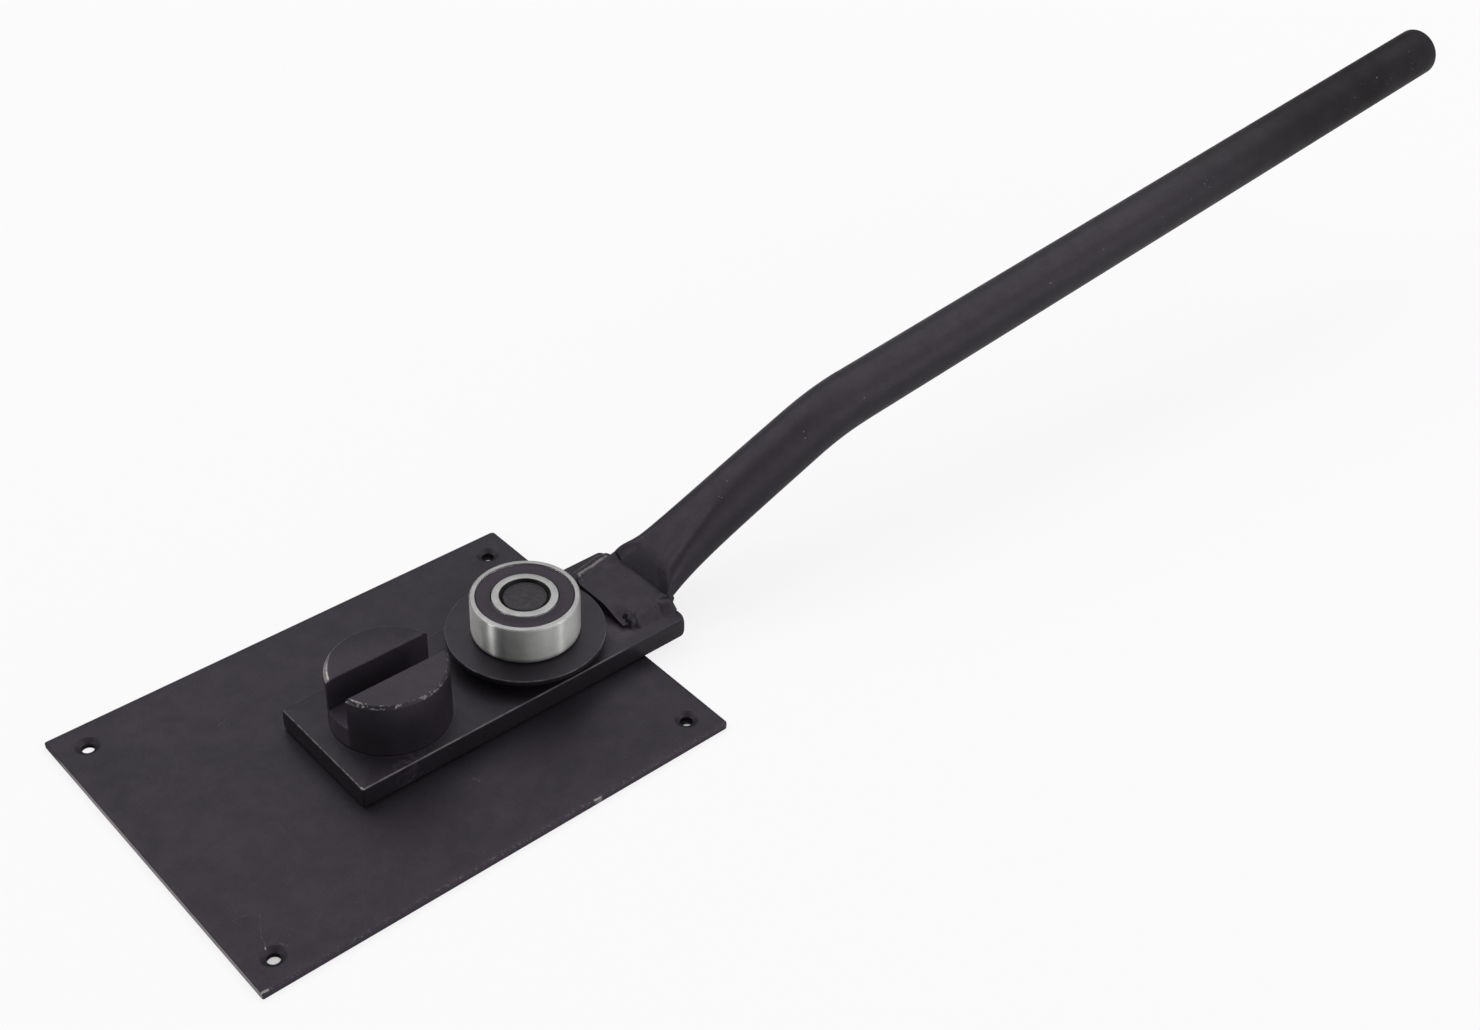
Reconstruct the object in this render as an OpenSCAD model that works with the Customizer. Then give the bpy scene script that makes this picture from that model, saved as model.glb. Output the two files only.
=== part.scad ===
// Rod bender: a fixed slotted post on a base plate and a swinging lever that carries a roller.
// Millimetres. The origin is on the post's axis at the plate's underside, +X runs along the lever, +Z is up.

/* [Base plate] */
// Length of the plate along the lever
plate_length = 225; // [215:1:260]
// Width of the plate
plate_width = 168; // [160:1:200]
// Thickness of the plate
plate_thickness = 3; // [3:0.5:6]
// Corner radius of the plate
plate_corner_r = 0.8; // [0.5:0.1:3]
// Radius of its worn corner at the near right
plate_worn_corner_r = 2; // [0.5:0.1:4]
// Distance between the screw holes along the lever
hole_spacing_x = 200; // [180:1:204]
// Distance between the screw holes across the lever
hole_spacing_y = 142; // [120:1:146]
// Diameter of the screw holes
hole_d = 5.5; // [4:0.1:6]
// Diameter of the countersinks at the top face
sink_d = 10.5; // [8:0.1:10.8]
// Angle of the countersinks
sink_angle = 118; // [90:1:130]

/* [Post] */
// Diameter of the post's head
head_d = 50.6; // [44:0.1:54]
// Height of the head's top above the lever bar
head_rise = 26.5; // [24:0.5:32]
// Chamfer at the head's top edge
head_chamfer = 0.8; // [0.2:0.1:1.5]
// Width of the slot that holds the rod
slot_width = 14; // [8:0.5:18]
// Depth of the slot
slot_depth = 16; // [10:0.5:18]
// Diameter of the neck that the lever turns on
neck_d = 30; // [24:0.5:34]
// Size of the bevel under the plate that the post is welded in
weld_bevel = 1.8; // [1:0.1:2.4]
// Outer diameter of the thrust washer
washer_d = 50; // [40:1:56]

/* [Lever bar] */
// Length of the bar
bar_length = 168; // [160:1:190]
// Width of the bar
bar_width = 60; // [56:1:70]
// Thickness of the bar
bar_thickness = 10; // [8:0.5:12]
// Distance from the post's axis to the bar's short end
bar_tail = 33.5; // [31:0.5:40]
// Corner radius at the short end
bar_tail_r = 1; // [0.5:0.5:4]
// Radius of the near corner at the handle end
bar_tip_near_r = 1.5; // [0.5:0.5:8]
// Radius of the far corner at the handle end
bar_tip_far_r = 3; // [0.5:0.5:8]
// Gap between the plate and the bar
bar_gap = 1; // [0.8:0.1:2]

/* [Roller] */
// Distance from the post's axis to the roller's axis
roller_x = 69.3; // [66:0.1:74]
// Outer diameter of the bearing
bearing_d = 47; // [47:1:47]
// Bore of the bearing
bearing_bore = 20; // [20:1:20]
// Width of the bearing
bearing_width = 18; // [18:1:18]
// Diameter of the guide disc under the bearing
disc_d = 69.2; // [60:0.2:76]
// Thickness of the guide disc
disc_thickness = 2.5; // [2:0.1:4]
// Outer diameter of the collar under the disc
collar_d = 30; // [26:0.5:36]
// Height of the collar
collar_height = 6.5; // [5:0.5:10]
// Thickness of the shim under the bearing
shim_thickness = 0.3; // [0.2:0.1:0.6]
// Diameter of the pin's end in the bar
pin_foot_d = 16; // [12:0.5:18]

/* [Handle] */
// Outside diameter of the handle tube
tube_d = 26.9; // [26.4:0.1:27.4]
// Wall of the handle tube
tube_wall = 2.6; // [2:0.1:3]
// Distance from the post's axis to the flattened end
tongue_x = 108; // [106:1:112]
// Distance from the post's axis to the crease where the tube lifts off the bar
crease_x = 133; // [130:0.5:133]
// Slope of the handle between the bar and the bend
inner_slope = 20.6; // [18:0.1:24]
// Slope of the handle beyond the bend
outer_slope = 6.6; // [4:0.1:9]
// Centre-line radius of the bend
bend_r = 135; // [100:5:180]
// Distance from the post's axis to the handle's end
handle_x = 715; // [500:5:800]

/* [Hidden] */
$fn = 96;
running_gap = 0.1;
bore_clearance = 0.05;
press_clearance = 0.01;
over = 1;

plate_top = plate_thickness;
washer_thickness = bar_gap - running_gap;
bar_bottom = plate_top + bar_gap;
bar_top = bar_bottom + bar_thickness;
bar_tip = bar_length - bar_tail;
head_bottom = bar_top + running_gap;
post_top = bar_top + head_rise;
slot_floor = post_top - slot_depth;
head_r = head_d / 2;
neck_r = neck_d / 2;
weld_rise = 0.3;

disc_bottom = bar_top + collar_height;
disc_top = disc_bottom + disc_thickness;
disc_edge = 0.3;
bearing_bottom = disc_top + shim_thickness;
bearing_middle = bearing_bottom + bearing_width / 2;
bearing_top = bearing_bottom + bearing_width;
pin_r = bearing_bore / 2 - press_clearance;
pin_foot_r = pin_foot_d / 2;
pin_weld_depth = 3;
pin_edge = 0.5;
shim_r = 13.5;

// Inside of the bearing: eight balls on one pitch circle between two grooved rings
ball_count = 8;
ball_r = 3.95;
ball_pitch_r = 16.75;
ball_groove_r = 4.05;
inner_land_r = 14.25;
outer_land_r = 19.4;
ring_chamfer = 0.6;
bore_chamfer = 1;
seal_recess = 1.9;
seal_seat_r = 21.25;
seal_inner_r = 14.55;
seal_sink = 0.4;
seal_thickness = 1.4;
seal_step = 0.35;
insert_inner_r = 16.2;
insert_outer_r = 20.5;
insert_thickness = 0.4;
cage_inner_r = 15.5;
cage_outer_r = 18;
cage_sheet = 0.6;
cage_gap = 0.1;
rivet_r = 0.55;
rivet_head_r = 1;
rivet_head = 0.4;

// Handle: the centre line is a flat tongue, a flare along a curve, and an exact tube with one bend
tube_r = tube_d / 2;
bore_r = tube_r - tube_wall;
loft_sink = 0.05;
flat_half = tube_wall;
tongue_z = bar_top + flat_half;
vertex = [244.5, 61.35];
bend_angle = inner_slope - outer_slope;
bend_tangent = bend_r * tan(bend_angle / 2);
bend_start = vertex - bend_tangent * heading(inner_slope);
bend_end = vertex + bend_tangent * heading(outer_slope);
outer_run = (handle_x - bend_end[0]) / cos(outer_slope);
inner_run = 18;
bore_run = 15;
bend_lap = 2;
bend_sink = 0.1;
lift_slope = 57;
lift_pull = 0.05;
run_pull = 0.29;
flare_rate = 5;
flare_steps = 15;
flare_spread = 1.3;
lift_start = 0.05;
flare_end = 0.88;
cavity_end = 0.9;
ring_sides = 36;
cavity_start = 0.13;

// Weld beads of the handle
bead_inner_y = 18.2;
bead_outer_y = 25.5;
bead_height = 4.6;
bead_start = 112;
bead_end = 134.2;
bead_step = 15;
bead_gap = 0.05;
end_lump = [133.6, -19, bar_top + 3.4];
end_lump_r = 3.2;
end_weld_half = 16;
end_weld_reach = 3.2;
end_weld_drop = 2;
end_weld_height = 3.4;
corner_weld = [114, -19];
corner_weld_r = 6;
corner_weld_height = 5.6;
corner_cap_r = (pow(corner_weld_r, 2) + pow(corner_weld_height, 2)) / (2 * corner_weld_height);
crater_r = 2;

function heading(slope) = [cos(slope), sin(slope)];
function bezier(p, t) =
    pow(1 - t, 3) * p[0] + 3 * pow(1 - t, 2) * t * p[1] + 3 * (1 - t) * t * t * p[2] + pow(t, 3) * p[3];
function bezier_slope(p, t) =
    let (d = pow(1 - t, 2) * (p[1] - p[0]) + 2 * (1 - t) * t * (p[2] - p[1]) + t * t * (p[3] - p[2]))
    atan2(d[1], d[0]);
function power(value, exponent) = sign(value) * pow(abs(value), exponent);

// A crushed tube keeps its perimeter: as its half height falls, its half width grows
function half_width(half_height, r) = sqrt(2 * r * r - half_height * half_height);

// One ring of points square to a slope, from a rounded box near the flat end to a circle
function ring(centre, slope, half_y, half_z, squareness) = [
    for (i = [0:ring_sides - 1])
        let (
            a = 360 * i / ring_sides,
            y = half_y * power(cos(a), 2 / squareness),
            h = half_z * power(sin(a), 2 / squareness)
        )
        [centre[0] - h * sin(slope), y, centre[1] + h * cos(slope)]
];

flare_start = [crease_x, tongue_z];
flare_length = norm(bend_start - flare_start);
flare = [
    flare_start,
    flare_start + lift_pull * flare_length * heading(lift_slope),
    bend_start - run_pull * flare_length * heading(inner_slope),
    bend_start
];
function opening(t) = 1 - pow(1 - t, flare_rate);
function flare_ring(t, r, inset) =
    let (half = flat_half + (r - flat_half) * opening(t))
    ring(
        bezier(flare, t), bezier_slope(flare, t),
        half_width(half, r) - inset, half - inset, 2 + 2 * (1 - opening(t))
    );
function flare_rings(from, to, r, inset) = [
    for (i = [0:flare_steps])
        flare_ring(from + (to - from) * pow(i / flare_steps, flare_spread), r, inset)
];

module sweep(rings) {
    sides = len(rings[0]);
    last = len(rings) - 1;
    polyhedron(
        points = [for (r = rings) for (p = r) p],
        faces = concat(
            [[for (i = [0:sides - 1]) i]],
            [for (k = [0:last - 1]) for (i = [0:sides - 1]) for (half = [0, 1])
                let (j = (i + 1) % sides, next = (k + 1) * sides)
                half == 0 ? [k * sides + i, next + i, next + j] : [k * sides + i, next + j, k * sides + j]],
            [[for (i = [sides - 1:-1:0]) last * sides + i]]
        )
    );
}

// A rectangle with its own radius at each corner, anticlockwise from the lower left
module rounded_plan(x0, x1, y0, y1, radii) {
    corners = [[x0, y0], [x1, y0], [x1, y1], [x0, y1]];
    difference() {
        translate([x0, y0]) square([x1 - x0, y1 - y0]);
        for (k = [0:3])
            translate(corners[k]) rotate(90 * k) difference() {
                translate([-over, -over]) square(radii[k] + over);
                translate([radii[k], radii[k]]) circle(r = radii[k]);
            }
    }
}

// A round part with both end edges chamfered, standing on z
module turned(r, z, height, edge_low, edge_high) {
    rotate_extrude() polygon([
        [0, z], [r - edge_low, z], [r, z + edge_low],
        [r, z + height - edge_high], [r - edge_high, z + height], [0, z + height]
    ]);
}

module washer(inner_r, outer_r, z, height) {
    translate([0, 0, z]) difference() {
        cylinder(r = outer_r, h = height);
        translate([0, 0, -over]) cylinder(r = inner_r, h = height + 2 * over);
    }
}

module at_roller(z = 0) {
    translate([roller_x, 0, z]) children();
}

module at_balls(offset_turn = 0) {
    for (i = [0:ball_count - 1])
        rotate(360 / ball_count * (i + offset_turn)) translate([ball_pitch_r, 0, 0]) children();
}

module screw_hole() {
    sink_flare = tan(sink_angle / 2);
    sink_depth = (sink_d - hole_d) / 2 / sink_flare;
    translate([0, 0, -over]) cylinder(d = hole_d, h = plate_thickness + 2 * over);
    translate([0, 0, plate_top - sink_depth])
        cylinder(d1 = hole_d, d2 = sink_d + 2 * over * sink_flare, h = sink_depth + over);
}

module base_plate() {
    color("#3a393d") difference() {
        linear_extrude(plate_thickness) rounded_plan(
            -plate_length / 2, plate_length / 2, -plate_width / 2, plate_width / 2,
            [plate_corner_r, plate_worn_corner_r, plate_corner_r, plate_corner_r]
        );
        for (x = [-1, 1], y = [-1, 1])
            translate([x * hole_spacing_x / 2, y * hole_spacing_y / 2, 0]) screw_hole();
        translate([0, 0, -over]) cylinder(r = neck_r, h = plate_thickness + 2 * over);
        translate([0, 0, -over])
            cylinder(r1 = neck_r + weld_bevel + over, r2 = neck_r, h = weld_bevel + over);
    }
}

module pivot_post() {
    color("#47464a") difference() {
        union() {
            translate([0, 0, weld_rise]) cylinder(r = neck_r, h = head_bottom + over - weld_rise);
            turned(head_r, head_bottom, post_top - head_bottom, head_chamfer / 2, head_chamfer);
        }
        translate([-head_r - over, -slot_width / 2, slot_floor])
            cube([head_d + 2 * over, slot_width, slot_depth + over]);
    }
}

module post_weld() {
    color("#5b5a58") rotate_extrude() polygon([
        [neck_r, weld_rise], [neck_r + weld_bevel - weld_rise, weld_rise], [neck_r, weld_bevel]
    ]);
}

module thrust_washer() {
    color("#6f6f70") washer(neck_r + bore_clearance, washer_d / 2, plate_top, washer_thickness);
}

module lever_bar() {
    color("#333236") difference() {
        translate([0, 0, bar_bottom]) linear_extrude(bar_thickness) rounded_plan(
            -bar_tail, bar_tip, -bar_width / 2, bar_width / 2,
            [bar_tail_r, bar_tip_near_r, bar_tip_far_r, bar_tail_r]
        );
        translate([0, 0, bar_bottom - over])
            cylinder(r = neck_r + bore_clearance, h = bar_thickness + 2 * over);
        at_roller(bar_bottom - over) cylinder(r = pin_foot_r, h = bar_thickness + 2 * over);
    }
}

module roller_pin() {
    foot = bar_bottom + pin_weld_depth;
    color("#3a3836") at_roller() union() {
        turned(pin_r, bar_top, bearing_top - bar_top, pin_edge, pin_edge);
        translate([0, 0, foot]) cylinder(r = pin_foot_r - press_clearance, h = bar_top - foot + over);
    }
}

module pin_weld() {
    color("#5b5a58") at_roller(bar_bottom + weld_rise)
        cylinder(r = pin_foot_r - press_clearance, h = pin_weld_depth - weld_rise);
}

module pin_collar() {
    color("#2b2a2c") at_roller() washer(bearing_bore / 2, collar_d / 2, bar_top, collar_height);
}

module guide_disc() {
    color("#3b3a3c") at_roller() difference() {
        turned(disc_d / 2, disc_bottom, disc_thickness, disc_edge, disc_edge);
        translate([0, 0, disc_bottom - over])
            cylinder(d = bearing_bore, h = disc_thickness + 2 * over);
    }
}

module bearing_shim() {
    color("#9a9b9d") at_roller() washer(bearing_bore / 2, shim_r, disc_top, shim_thickness);
}

// Outline of a ring's half section with the ball groove cut out, from one face to the other
module grooved_section(points) {
    difference() {
        polygon(points);
        translate([ball_pitch_r, 0]) circle(r = ball_groove_r);
    }
}

module bearing_inner_ring() {
    half = bearing_width / 2;
    bore = bearing_bore / 2;
    color("#cfd2d4") at_roller(bearing_middle) rotate_extrude() grooved_section([
        [bore + bore_chamfer, -half], [inner_land_r, -half], [inner_land_r, half],
        [bore + bore_chamfer, half], [bore, half - bore_chamfer], [bore, bore_chamfer - half]
    ]);
}

module bearing_outer_ring() {
    half = bearing_width / 2;
    rim = bearing_d / 2;
    shelf = half - seal_recess;
    color("#d6d8da") at_roller(bearing_middle) rotate_extrude() grooved_section([
        [seal_seat_r, -half], [rim - ring_chamfer, -half], [rim, ring_chamfer - half],
        [rim, half - ring_chamfer], [rim - ring_chamfer, half], [seal_seat_r, half],
        [seal_seat_r, shelf], [outer_land_r, shelf],
        [outer_land_r, -shelf], [seal_seat_r, -shelf]
    ]);
}

module bearing_balls() {
    color("#e4e6e8") at_roller(bearing_middle) at_balls() sphere(r = ball_r);
}

// The upper half of the pressed cage: a flat ribbon with a round pocket over each ball
module cage_half() {
    pocket_r = ball_r + cage_gap;
    difference() {
        intersection() {
            washer(cage_inner_r, cage_outer_r, 0, pocket_r + cage_sheet);
            union() {
                washer(cage_inner_r - over, cage_outer_r + over, 0, cage_sheet);
                at_balls() sphere(r = pocket_r + cage_sheet);
            }
        }
        at_balls() sphere(r = pocket_r);
        at_balls(0.5) translate([0, 0, -over]) cylinder(r = rivet_r, h = cage_sheet + 2 * over, $fn = 24);
    }
}

module bearing_cage_upper() {
    color("#c9a55a") at_roller(bearing_middle) cage_half();
}

module bearing_cage_lower() {
    color("#c9a55a") at_roller(bearing_middle) mirror([0, 0, 1]) cage_half();
}

module bearing_cage_rivets() {
    color("#b9b9b6") at_roller(bearing_middle) at_balls(0.5) union() {
        translate([0, 0, -cage_sheet]) cylinder(r = rivet_r, h = 2 * cage_sheet, $fn = 24);
        translate([0, 0, cage_sheet]) cylinder(r = rivet_head_r, h = rivet_head, $fn = 24);
        translate([0, 0, -cage_sheet - rivet_head]) cylinder(r = rivet_head_r, h = rivet_head, $fn = 24);
    }
}

// The upper seal: a rubber ring with a step at its outer edge and a pocket for its steel insert
module seal() {
    top = bearing_width / 2 - seal_sink;
    bottom = top - seal_thickness;
    edge = seal_seat_r - press_clearance;
    rotate_extrude() polygon([
        [seal_inner_r, bottom], [insert_inner_r, bottom],
        [insert_inner_r, bottom + insert_thickness], [insert_outer_r, bottom + insert_thickness],
        [insert_outer_r, bottom], [edge, bottom],
        [edge, top - seal_step], [edge - seal_step, top], [seal_inner_r, top]
    ]);
}

module seal_insert() {
    bottom = bearing_width / 2 - seal_sink - seal_thickness;
    washer(insert_inner_r, insert_outer_r, bottom, insert_thickness);
}

module bearing_seal_upper() {
    color("#46484b") at_roller(bearing_middle) seal();
}

module bearing_seal_lower() {
    color("#46484b") at_roller(bearing_middle) mirror([0, 0, 1]) seal();
}

module seal_insert_upper() {
    color("#a4a6a8") at_roller(bearing_middle) seal_insert();
}

module seal_insert_lower() {
    color("#a4a6a8") at_roller(bearing_middle) mirror([0, 0, 1]) seal_insert();
}

// Turns a shape along +Z at the origin into one along a slope in the XZ plane
module along(point, slope) {
    translate([point[0], 0, point[1]]) rotate([0, 90 - slope, 0]) children();
}

// The round stretches: the inner run, the bend, a hair thinner, and the outer run, lapping into each other
module round_tube(r, before, beyond) {
    back = bend_start - before * heading(inner_slope);
    front = bend_end - bend_lap * heading(outer_slope);
    centre = bend_start - bend_r * [-sin(inner_slope), cos(inner_slope)];
    along(back, inner_slope) cylinder(r = r, h = before + bend_lap);
    translate([centre[0], 0, centre[1]]) rotate([90, 0, 0]) rotate(90 + outer_slope)
        rotate_extrude(angle = bend_angle) translate([bend_r, 0]) circle(r = r - bend_sink);
    along(front, outer_slope) cylinder(r = r, h = outer_run + bend_lap + beyond);
}

module handle_tube() {
    mitre = lift_slope / 2;
    wide = half_width(flat_half, tube_r);
    color("#353436") difference() {
        union() {
            sweep(concat(
                [ring([tongue_x, tongue_z], 0, wide, flat_half, 4)],
                [ring(flare_start, mitre, wide, flat_half / cos(mitre), 4)],
                flare_rings(lift_start, flare_end, tube_r - loft_sink, 0)
            ));
            round_tube(tube_r, inner_run, 0);
        }
        sweep(flare_rings(cavity_start, cavity_end, tube_r - loft_sink, tube_wall));
        round_tube(bore_r, bore_run, over);
    }
}

// A rounded bead along one side of the tongue
module side_bead() {
    translate([bead_start, 0, 0]) rotate([90, 0, 90]) linear_extrude(bead_end - bead_start) polygon(concat(
        [[bead_inner_y, bar_top]],
        [for (a = [0:bead_step:90]) [
            bead_inner_y + (bead_outer_y - bead_inner_y) * cos(a),
            bar_top + bead_height * sin(a)
        ]]
    ));
}

// The upper cap of a sphere that stands on the bar at the tongue's near corner
module corner_cap(growth) {
    translate([corner_weld[0], corner_weld[1], bar_top]) intersection() {
        translate([0, 0, corner_weld_height - corner_cap_r]) sphere(r = corner_cap_r + growth);
        translate([-2 * corner_cap_r, -2 * corner_cap_r, 0]) cube(4 * corner_cap_r);
    }
}

module handle_weld_near() {
    color("#4a494b") difference() {
        union() {
            mirror([0, 1, 0]) side_bead();
            translate(end_lump) sphere(r = end_lump_r);
        }
        corner_cap(bead_gap);
    }
}

module handle_weld_far() {
    color("#4a494b") side_bead();
}

// The bead under the handle, on the bar's end face
module handle_weld_end() {
    color("#4a494b") translate([bar_tip, end_weld_half, bar_top - end_weld_drop]) rotate([90, 0, 0])
        linear_extrude(2 * end_weld_half) polygon([
            for (a = [-90:bead_step:90]) [end_weld_reach * cos(a), end_weld_height * sin(a)]
        ]);
}

module handle_weld_corner() {
    color("#4a494b") difference() {
        corner_cap(0);
        translate([corner_weld[0], corner_weld[1], bar_top + corner_weld_height + crater_r / 2])
            sphere(r = crater_r);
    }
}

base_plate();
pivot_post();
post_weld();
thrust_washer();
lever_bar();
roller_pin();
pin_weld();
pin_collar();
guide_disc();
bearing_shim();
bearing_inner_ring();
bearing_outer_ring();
bearing_balls();
bearing_cage_upper();
bearing_cage_lower();
bearing_cage_rivets();
bearing_seal_upper();
bearing_seal_lower();
seal_insert_upper();
seal_insert_lower();
handle_tube();
handle_weld_near();
handle_weld_far();
handle_weld_end();
handle_weld_corner();
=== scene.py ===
"""Looks of the rod bender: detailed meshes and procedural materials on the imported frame.

Shapes are worked out in millimetres in the row frame, from the frame's own boxes, and scaled to metres
when a mesh is made. +X runs along the lever, +Z is up, and the post's axis is the Z axis.
"""

import math

import bmesh
import bpy
from mathutils import Matrix, Vector, noise

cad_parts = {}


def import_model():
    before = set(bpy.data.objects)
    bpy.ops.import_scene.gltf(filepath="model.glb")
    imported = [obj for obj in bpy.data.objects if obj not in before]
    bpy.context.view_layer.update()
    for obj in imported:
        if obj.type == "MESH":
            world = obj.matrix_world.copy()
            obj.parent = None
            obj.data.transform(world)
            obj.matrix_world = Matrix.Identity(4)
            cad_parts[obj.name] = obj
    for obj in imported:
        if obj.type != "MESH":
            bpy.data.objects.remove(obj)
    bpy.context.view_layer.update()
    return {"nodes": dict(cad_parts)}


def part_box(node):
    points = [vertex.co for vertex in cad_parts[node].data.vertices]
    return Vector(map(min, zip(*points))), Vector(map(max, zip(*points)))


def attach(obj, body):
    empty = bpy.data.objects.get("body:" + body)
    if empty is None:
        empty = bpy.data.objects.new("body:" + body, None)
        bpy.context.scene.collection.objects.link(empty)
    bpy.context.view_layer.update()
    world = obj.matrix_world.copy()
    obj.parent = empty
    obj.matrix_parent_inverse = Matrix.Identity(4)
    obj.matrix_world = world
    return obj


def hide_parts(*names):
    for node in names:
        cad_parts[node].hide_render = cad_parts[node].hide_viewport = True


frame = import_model()

MM = 0.001


def box_mm(node):
    low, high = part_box(node)
    return low / MM, high / MM


def centre_mm(node):
    low, high = box_mm(node)
    return (low + high) / 2


def radius_mm(node):
    low, high = box_mm(node)
    return (high.y - low.y) / 2


# Places and sizes read from the frame
PLATE_LOW, PLATE_HIGH = box_mm("base_plate")
BAR_LOW, BAR_HIGH = box_mm("lever_bar")
BAR_TOP = BAR_HIGH.z
BAR_TIP = BAR_HIGH.x
POST_BASE, POST_TOP = (corner.z for corner in box_mm("pivot_post"))
HEAD_R = radius_mm("pivot_post")
WASHER_R = radius_mm("thrust_washer")
ROLLER = centre_mm("bearing_outer_ring")
RING_R = radius_mm("bearing_outer_ring")
RING_LOW, RING_HIGH = box_mm("bearing_outer_ring")
RING_HALF = (RING_HIGH.z - RING_LOW.z) / 2
INNER_LAND_R = radius_mm("bearing_inner_ring")
SEAL_R = radius_mm("bearing_seal_upper")
SEAL_LOW, SEAL_HIGH = (corner.z - ROLLER.z for corner in box_mm("bearing_seal_upper"))
PIN_R = radius_mm("roller_pin")
PIN_TOP = box_mm("roller_pin")[1].z
DISC_BASE, DISC_TOP = (corner.z for corner in box_mm("guide_disc"))
DISC_R = radius_mm("guide_disc")
COLLAR_R = radius_mm("pin_collar")
TONGUE_X = box_mm("handle_tube")[0].x

# Sizes that the frame's boxes don't give, as in the part's source
NECK_R = WASHER_R - 10
NECK_GAP = 0.05
NECK_HOLE_R = 15
HOLE_X, HOLE_Y = 100, 71
HOLE_R = 2.75
SINK_R = 5.25
SINK_DEPTH = 1.5
SLOT_HALF = 7
SLOT_FLOOR = POST_TOP - 16
HEAD_GAP = 0.1
BAR_TAIL_R = 1
BAR_TIP_NEAR_R = 1.5
BAR_TIP_FAR_R = 3
PLATE_R = 0.8
PLATE_NEAR_R = 2
WELD_SINK = 1.8
BORE_R = 10
PIN_FOOT_R = 8
BALL_PITCH_R = 16.75
BALL_GROOVE_R = 4.05
OUTER_LAND_R = 19.4
SEAL_SEAT_R = 21.25
SEAL_SHELF = 1.9
SEAL_INNER_R = 14.55
TUBE_R = 13.45
TUBE_WALL = 2.6
TONGUE_Z = BAR_TOP + TUBE_WALL
CREASE_X = 133
INNER_SLOPE = math.radians(20.6)
OUTER_SLOPE = math.radians(6.6)
BEND_VERTEX = Vector((244.5, 61.35))
BEND_R = 135
HANDLE_X = 715

# Sizes that only this script has
HEAD_CHAMFER = 1.2
PLATE_FAR_R = 1.8
BORE_CHAMFER = (1, 1.3)
MIN_CORNER_R = 0.15
ROUND = 96


# Mesh helpers


def heading(slope):
    return Vector((math.cos(slope), math.sin(slope)))


def smoothstep(low, high, value):
    t = min(max((value - low) / (high - low), 0), 1)
    return t * t * (3 - 2 * t)


def rounded(points, radii, steps=4, closed=False):
    """A polyline with an arc of its own radius in place of each corner."""
    count = len(points)
    made = []
    for i, (point, r) in enumerate(zip(points, radii)):
        p = Vector(point)
        if r <= 0 or (not closed and i in (0, count - 1)):
            made.append(p)
            continue
        before = (Vector(points[i - 1]) - p).normalized()
        after = (Vector(points[(i + 1) % count]) - p).normalized()
        half = before.angle(after) / 2
        reach = r / math.tan(half)
        middle = p + (before + after).normalized() * (r / math.sin(half))
        start, end = p + before * reach - middle, p + after * reach - middle
        for k in range(steps + 1):
            turn = start.lerp(end, k / steps)
            made.append(middle + turn.normalized() * r)
    return made


def around(count):
    """Unit directions at equal steps round a circle."""
    turns = [2 * math.pi * i / count for i in range(count)]
    return [(math.cos(a), math.sin(a)) for a in turns]


def lathe(profile, segments, closed=False):
    """Vertices and faces of a profile of (radius, height) turned about the Z axis."""
    count = len(profile)
    verts = [(r * dx, r * dy, z) for dx, dy in around(segments) for r, z in profile]
    faces = []
    for k in range(segments):
        near, far = k * count, (k + 1) % segments * count
        for i in range(count if closed else count - 1):
            j = (i + 1) % count
            faces.append((near + i, far + i, far + j, near + j))
    return verts, faces


def bridge(rings):
    """Vertices and quads that join rings of the same number of points."""
    count = len(rings[0])
    verts = [p for ring in rings for p in ring]
    faces = []
    for k in range(len(rings) - 1):
        near, far = k * count, (k + 1) * count
        for i in range(count):
            j = (i + 1) % count
            faces.append((near + i, near + j, far + j, far + i))
    return verts, faces


def capped(rings):
    """Joined rings with a face over each end."""
    verts, faces = bridge(rings)
    count = len(rings[0])
    last = len(verts) - count
    faces += [tuple(range(count)), tuple(range(last, last + count))]
    return verts, faces


def joined(parts):
    """One list of vertices and one of faces from several such pairs."""
    verts, faces = [], []
    for part_verts, part_faces in parts:
        base = len(verts)
        verts += [tuple(v) for v in part_verts]
        faces += [tuple(i + base for i in f) for f in part_faces]
    return verts, faces


def fill_between(mesh, loops):
    """Triangles over the flat area inside the first loop and outside the others."""
    edges = []
    for loop in loops:
        verts = [mesh.verts.new(Vector(p) * MM) for p in loop]
        edges += [mesh.edges.new((verts[i], verts[(i + 1) % len(verts)])) for i in range(len(verts))]
    bmesh.ops.triangle_fill(mesh, edges=edges, use_beauty=True)


def placed(name, data):
    """A new object in the scene."""
    obj = bpy.data.objects.new(name, data)
    bpy.context.scene.collection.objects.link(obj)
    return obj


def piece(name, shape, material, body, nodes, origin=(0, 0, 0), fills=(), sharp=32):
    """Makes one mesh piece in place of CAD nodes, from vertices and faces. Its own axis stands at origin."""
    verts, faces = shape
    mesh = bmesh.new()
    made = [mesh.verts.new(Vector(v) * MM) for v in verts]
    for face in faces:
        corners = [made[i] for i in face]
        if len(set(corners)) == len(corners):
            mesh.faces.new(corners)
    for loops in fills:
        fill_between(mesh, loops)
    bmesh.ops.remove_doubles(mesh, verts=mesh.verts, dist=0.002 * MM)
    bmesh.ops.dissolve_degenerate(mesh, edges=mesh.edges, dist=0.001 * MM)
    bmesh.ops.recalc_face_normals(mesh, faces=mesh.faces)
    data = bpy.data.meshes.new(name)
    mesh.to_mesh(data)
    mesh.free()
    data.shade_smooth()
    data.set_sharp_from_angle(angle=math.radians(sharp))
    data.materials.append(material)
    obj = placed(name, data)
    obj.location = Vector(origin) * MM
    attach(obj, body)
    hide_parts(*nodes)
    return obj


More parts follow.
